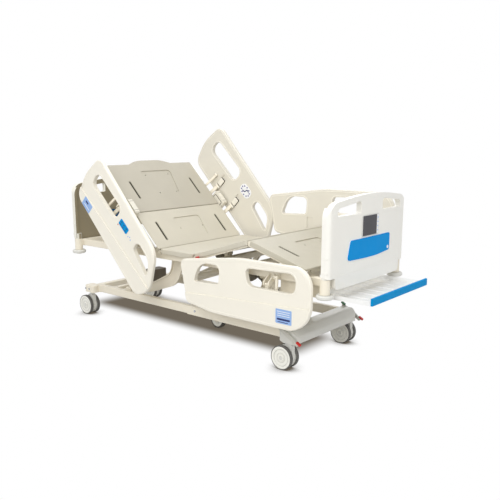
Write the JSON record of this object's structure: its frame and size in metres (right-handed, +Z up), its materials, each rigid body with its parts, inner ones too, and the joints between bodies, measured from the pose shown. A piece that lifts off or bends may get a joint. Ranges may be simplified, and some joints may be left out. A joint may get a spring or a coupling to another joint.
{
  "type": "hospital bed",
  "caption": "Motor-driven hospital bed with a sectioned deck, swing-down side rails, lift-off end boards, a lift parallelogram, twin-wheel casters and a pull-out linen tray.",
  "frame": {"origin": "on the floor, in the middle of the bed's length and width", "axes": "+X towards the foot end, +Y towards the patient's left, +Z up"},
  "size_m": [2.572, 1.036, 1.4275],
  "materials": {
    "azure_plastic": "azure plastic",
    "bare_steel": "zinc-plated steel",
    "blue_plate": "blue printed plate",
    "cable_black": "dark cable sheath",
    "dark_plastic": "dark moulded housing",
    "deck_plastic": "fine-grained moulded deck plastic",
    "grey_white_plastic": "smooth moulded light grey plastic",
    "ivory_plastic": "smooth moulded ivory plastic",
    "powder_grey": "powder-coated steel",
    "powder_ivory": "powder-coated steel tube",
    "screen_glass": "dark display in its bezel",
    "signal_red": "red and green pedal pads",
    "tray_white": "white powder-coated sheet",
    "tyre_grey": "grey running tread with a cream disc"
  },
  "bodies": {
    "base": {"base_side_rails": "powder_ivory", "base_cross_tubes": "powder_ivory", "base_foot_cover": "grey_white_plastic", "control_box": "dark_plastic"},
    "pedals": {"brake_pedals": "powder_grey", "pedal_pads": "signal_red"},
    "fifth_wheel": {"fifth_wheel": "tyre_grey"},
    "head_arms": {"head_lift_arms": "powder_ivory"},
    "foot_arms": {"foot_lift_arms": "powder_ivory"},
    "upper": {"upper_frame": "powder_ivory", "frame_brackets": "powder_ivory", "corner_posts": "powder_ivory", "seat_panel": "deck_plastic", "power_cable": "cable_black"},
    "back": {"back_frame": "powder_ivory", "back_panel_lower": "deck_plastic", "back_panel_upper": "deck_plastic"},
    "thigh": {"thigh_frame": "powder_ivory", "thigh_panel": "deck_plastic"},
    "calf": {"calf_frame": "powder_ivory", "calf_panel": "deck_plastic"},
    "headboard": {"headboard": "ivory_plastic"},
    "footboard": {"footboard": "ivory_plastic", "footboard_screen": "screen_glass", "footboard_plate": "blue_plate"},
    "tray": {"tray_frame": "tray_white", "tray_front": "azure_plastic"},
    "cpr": {"cpr_handle": "signal_red"},
    "head_lift_actuator": {"head_lift_actuator_body": "dark_plastic"},
    "head_lift_push_rod": {"head_lift_actuator_rod": "bare_steel"},
    "foot_lift_actuator": {"foot_lift_actuator_body": "dark_plastic"},
    "foot_lift_push_rod": {"foot_lift_actuator_rod": "bare_steel"},
    "back_actuator": {"back_actuator_body": "dark_plastic"},
    "back_push_rod": {"back_actuator_rod": "bare_steel"},
    "knee_actuator": {"knee_actuator_body": "dark_plastic"},
    "knee_push_rod": {"knee_actuator_rod": "bare_steel"},
    "head_right_rail": {"head_right_rail": "ivory_plastic"},
    "head_right_arms": {"head_right_rail_arms": "powder_ivory"},
    "head_right_link": {"head_right_rail_link": "powder_grey"},
    "head_left_rail": {"head_left_rail": "ivory_plastic"},
    "head_left_arms": {"head_left_rail_arms": "powder_ivory"},
    "head_left_link": {"head_left_rail_link": "powder_grey"},
    "foot_right_rail": {"foot_right_rail": "ivory_plastic"},
    "foot_right_arms": {"foot_right_rail_arms": "powder_ivory"},
    "foot_right_link": {"foot_right_rail_link": "powder_grey"},
    "foot_left_rail": {"foot_left_rail": "ivory_plastic"},
    "foot_left_arms": {"foot_left_rail_arms": "powder_ivory"},
    "foot_left_link": {"foot_left_rail_link": "powder_grey"},
    "caster_head_right": {"caster_head_right_housing": "grey_white_plastic"},
    "caster_head_right_wheels": {"caster_head_right_wheels": "tyre_grey"},
    "caster_head_left": {"caster_head_left_housing": "grey_white_plastic"},
    "caster_head_left_wheels": {"caster_head_left_wheels": "tyre_grey"},
    "caster_foot_right": {"caster_foot_right_housing": "grey_white_plastic"},
    "caster_foot_right_wheels": {"caster_foot_right_wheels": "tyre_grey"},
    "caster_foot_left": {"caster_foot_left_housing": "grey_white_plastic"},
    "caster_foot_left_wheels": {"caster_foot_left_wheels": "tyre_grey"},
    "bumper_head_right": {"bumper_head_right": "grey_white_plastic"},
    "bumper_head_left": {"bumper_head_left": "grey_white_plastic"},
    "bumper_foot_right": {"bumper_foot_right": "grey_white_plastic"},
    "bumper_foot_left": {"bumper_foot_left": "grey_white_plastic"}
  },
  "joints": [
    {"name": "head_lift_pivot", "type": "hinge", "parent": "base", "child": "head_arms", "pos_m": [-0.8, 0, 0.24], "axis": [0, -1, 0], "range_deg": [-17, 20]},
    {"name": "foot_lift_pivot", "type": "hinge", "parent": "base", "child": "foot_arms", "pos_m": [0.013, 0, 0.24], "axis": [0, -1, 0], "range_deg": [-17, 20]},
    {"name": "frame_pivot", "type": "hinge", "parent": "head_arms", "child": "upper", "pos_m": [-0.28, 0, 0.575], "axis": [0, -1, 0], "range_deg": [-20, 17]},
    {"name": "head_lift_actuator_pivot", "type": "hinge", "parent": "upper", "child": "head_lift_actuator", "pos_m": [-0.72, 0, 0.535], "axis": [0, -1, 0], "range_deg": [-1.16, 1.01]},
    {"name": "head_lift_actuator_stroke", "type": "slide", "parent": "head_lift_actuator", "child": "head_lift_push_rod", "axis": [0.8627, 0, -0.5057], "range_m": [-0.07966, 0.09354]},
    {"name": "foot_lift_actuator_pivot", "type": "hinge", "parent": "upper", "child": "foot_lift_actuator", "pos_m": [0.093, 0, 0.535], "axis": [0, -1, 0], "range_deg": [-1.16, 1.01]},
    {"name": "foot_lift_actuator_stroke", "type": "slide", "parent": "foot_lift_actuator", "child": "foot_lift_push_rod", "axis": [0.8627, 0, -0.5057], "range_m": [-0.07966, 0.09354]},
    {"name": "back_hinge", "type": "hinge", "parent": "upper", "child": "back", "pos_m": [-0.305, 0, 0.604], "axis": [0, 1, 0], "range_deg": [-45, 25]},
    {"name": "back_actuator_pivot", "type": "hinge", "parent": "upper", "child": "back_actuator", "pos_m": [0.06, 0.13, 0.478], "axis": [0, -1, 0], "range_deg": [-2.96, 5.17]},
    {"name": "back_actuator_stroke", "type": "slide", "parent": "back_actuator", "child": "back_push_rod", "axis": [-0.9944, 0, 0.1059], "range_m": [-0.07905, 0.04436]},
    {"name": "thigh_hinge", "type": "hinge", "parent": "upper", "child": "thigh", "pos_m": [0.038, 0, 0.604], "axis": [0, -1, 0], "range_deg": [-17.3, 17.7]},
    {"name": "knee_actuator_pivot", "type": "hinge", "parent": "upper", "child": "knee_actuator", "pos_m": [0.372, -0.13, 0.488], "axis": [0, -1, 0], "range_deg": [-1.41, 1.38]},
    {"name": "knee_actuator_stroke", "type": "slide", "parent": "knee_actuator", "child": "knee_push_rod", "axis": [-1, 0, 0.0032], "range_m": [-0.03751, 0.03668]},
    {"name": "knee_hinge", "type": "hinge", "parent": "thigh", "child": "calf", "pos_m": [0.48865, 0, 0.74436], "axis": [0, -1, 0], "range_deg": [-34.79, 34]},
    {"name": "head_right_rail_swing", "type": "hinge", "parent": "back", "child": "head_right_arms", "pos_m": [-0.54117, -0.426, 0.72845], "axis": [-0.7071, 0, 0.7071], "range_deg": [0, 145.59]},
    {"name": "head_right_rail_level", "type": "hinge", "parent": "head_right_arms", "child": "head_right_rail", "pos_m": [-0.65077, -0.474, 0.61885], "axis": [-0.7071, 0, 0.7071], "range_deg": [-145.59, 0]},
    {"name": "head_right_rail_link_pivot", "type": "hinge", "parent": "back", "child": "head_right_link", "pos_m": [-0.50582, -0.426, 0.76381], "axis": [-0.7071, 0, 0.7071], "range_deg": [0, 145.59]},
    {"name": "head_left_rail_swing", "type": "hinge", "parent": "back", "child": "head_left_arms", "pos_m": [-0.54117, 0.426, 0.72845], "axis": [0.7071, 0, -0.7071], "range_deg": [-145.59, 0]},
    {"name": "head_left_rail_level", "type": "hinge", "parent": "head_left_arms", "child": "head_left_rail", "pos_m": [-0.43157, 0.474, 0.83805], "axis": [0.7071, 0, -0.7071], "range_deg": [0, 145.59]},
    {"name": "head_left_rail_link_pivot", "type": "hinge", "parent": "back", "child": "head_left_link", "pos_m": [-0.50582, 0.426, 0.76381], "axis": [0.7071, 0, -0.7071], "range_deg": [-145.59, 0]},
    {"name": "foot_right_rail_swing", "type": "hinge", "parent": "upper", "child": "foot_right_arms", "pos_m": [0.33, -0.426, 0.525], "axis": [-1, 0, 0], "range_deg": [0, 173.46]},
    {"name": "foot_right_rail_level", "type": "hinge", "parent": "foot_right_arms", "child": "foot_right_rail", "pos_m": [0.33, -0.436, 0.35], "axis": [-1, 0, 0], "range_deg": [-173.46, 0]},
    {"name": "foot_right_rail_link_pivot", "type": "hinge", "parent": "upper", "child": "foot_right_link", "pos_m": [0.33, -0.426, 0.575], "axis": [-1, 0, 0], "range_deg": [0, 173.46]},
    {"name": "foot_left_rail_swing", "type": "hinge", "parent": "upper", "child": "foot_left_arms", "pos_m": [0.33, 0.426, 0.525], "axis": [1, 0, 0], "range_deg": [-173.46, 0]},
    {"name": "foot_left_rail_level", "type": "hinge", "parent": "foot_left_arms", "child": "foot_left_rail", "pos_m": [0.33, 0.436, 0.7], "axis": [1, 0, 0], "range_deg": [0, 173.46]},
    {"name": "foot_left_rail_link_pivot", "type": "hinge", "parent": "upper", "child": "foot_left_link", "pos_m": [0.33, 0.426, 0.575], "axis": [1, 0, 0], "range_deg": [-173.46, 0]},
    {"name": "headboard_lift_off", "type": "slide", "parent": "upper", "child": "headboard", "axis": [0, 0, 1], "range_m": [0, 0.25]},
    {"name": "footboard_lift_off", "type": "slide", "parent": "upper", "child": "footboard", "axis": [0, 0, 1], "range_m": [0, 0.25]},
    {"name": "tray_slide", "type": "slide", "parent": "upper", "child": "tray", "axis": [1, 0, 0], "range_m": [-0.28, 0]},
    {"name": "cpr_lever", "type": "hinge", "parent": "upper", "child": "cpr", "pos_m": [0.02, -0.43, 0.572], "axis": [0, -1, 0], "range_deg": [0, 25], "stiffness_Nm_per_rad": 1.5},
    {"name": "pedal_rock", "type": "hinge", "parent": "base", "child": "pedals", "pos_m": [0.748, 0, 0.216], "axis": [0, -1, 0], "range_deg": [-12, 12]},
    {"name": "caster_head_right_swivel", "type": "hinge", "parent": "base", "child": "caster_head_right", "pos_m": [-1.181, -0.33, 0.075], "axis": [0, 0, 1], "continuous": true},
    {"name": "caster_head_right_roll", "type": "hinge", "parent": "caster_head_right", "child": "caster_head_right_wheels", "pos_m": [-1.219, -0.33, 0.075], "axis": [0, 1, 0], "continuous": true},
    {"name": "caster_head_left_swivel", "type": "hinge", "parent": "base", "child": "caster_head_left", "pos_m": [-1.181, 0.33, 0.075], "axis": [0, 0, 1], "continuous": true},
    {"name": "caster_head_left_roll", "type": "hinge", "parent": "caster_head_left", "child": "caster_head_left_wheels", "pos_m": [-1.219, 0.33, 0.075], "axis": [0, 1, 0], "continuous": true},
    {"name": "caster_foot_right_swivel", "type": "hinge", "parent": "base", "child": "caster_foot_right", "pos_m": [0.741, -0.33, 0.075], "axis": [0, 0, 1], "continuous": true},
    {"name": "caster_foot_right_roll", "type": "hinge", "parent": "caster_foot_right", "child": "caster_foot_right_wheels", "pos_m": [0.703, -0.33, 0.075], "axis": [0, 1, 0], "continuous": true},
    {"name": "caster_foot_left_swivel", "type": "hinge", "parent": "base", "child": "caster_foot_left", "pos_m": [0.741, 0.33, 0.075], "axis": [0, 0, 1], "continuous": true},
    {"name": "caster_foot_left_roll", "type": "hinge", "parent": "caster_foot_left", "child": "caster_foot_left_wheels", "pos_m": [0.703, 0.33, 0.075], "axis": [0, 1, 0], "continuous": true},
    {"name": "fifth_wheel_roll", "type": "hinge", "parent": "base", "child": "fifth_wheel", "pos_m": [-0.169, 0.03, 0.062], "axis": [0, 1, 0], "continuous": true},
    {"name": "bumper_head_right_spin", "type": "hinge", "parent": "upper", "child": "bumper_head_right", "pos_m": [-1.217, -0.404, 0.519], "axis": [0, 0, 1], "continuous": true},
    {"name": "bumper_head_left_spin", "type": "hinge", "parent": "upper", "child": "bumper_head_left", "pos_m": [-1.217, 0.404, 0.519], "axis": [0, 0, 1], "continuous": true},
    {"name": "bumper_foot_right_spin", "type": "hinge", "parent": "upper", "child": "bumper_foot_right", "pos_m": [1.022, -0.404, 0.519], "axis": [0, 0, 1], "continuous": true},
    {"name": "bumper_foot_left_spin", "type": "hinge", "parent": "upper", "child": "bumper_foot_left", "pos_m": [1.022, 0.404, 0.519], "axis": [0, 0, 1], "continuous": true}
  ],
  "couplings": [
    {"joint": "foot_lift_pivot", "follows": "head_lift_pivot", "ratio": 1},
    {"joint": "frame_pivot", "follows": "head_lift_pivot", "ratio": -1},
    {"joint": "head_lift_actuator_pivot", "follows": "head_lift_pivot", "ratio": -0.0479},
    {"joint": "head_lift_actuator_stroke", "follows": "head_lift_pivot", "m_per_rad": 0.2651},
    {"joint": "foot_lift_actuator_pivot", "follows": "head_lift_pivot", "ratio": -0.0479},
    {"joint": "foot_lift_actuator_stroke", "follows": "head_lift_pivot", "m_per_rad": 0.2651},
    {"joint": "back_actuator_pivot", "follows": "back_hinge", "ratio": -0.1104},
    {"joint": "back_actuator_stroke", "follows": "back_hinge", "m_per_rad": 0.09937},
    {"joint": "knee_actuator_pivot", "follows": "thigh_hinge", "ratio": -0.0681},
    {"joint": "knee_actuator_stroke", "follows": "thigh_hinge", "m_per_rad": -0.11818},
    {"joint": "knee_hinge", "follows": "thigh_hinge", "ratio": -1.954},
    {"joint": "head_right_rail_level", "follows": "head_right_rail_swing", "ratio": -1},
    {"joint": "head_right_rail_link_pivot", "follows": "head_right_rail_swing", "ratio": 1},
    {"joint": "head_left_rail_level", "follows": "head_left_rail_swing", "ratio": -1},
    {"joint": "head_left_rail_link_pivot", "follows": "head_left_rail_swing", "ratio": 1},
    {"joint": "foot_right_rail_level", "follows": "foot_right_rail_swing", "ratio": -1},
    {"joint": "foot_right_rail_link_pivot", "follows": "foot_right_rail_swing", "ratio": 1},
    {"joint": "foot_left_rail_level", "follows": "foot_left_rail_swing", "ratio": -1},
    {"joint": "foot_left_rail_link_pivot", "follows": "foot_left_rail_swing", "ratio": 1}
  ]
}
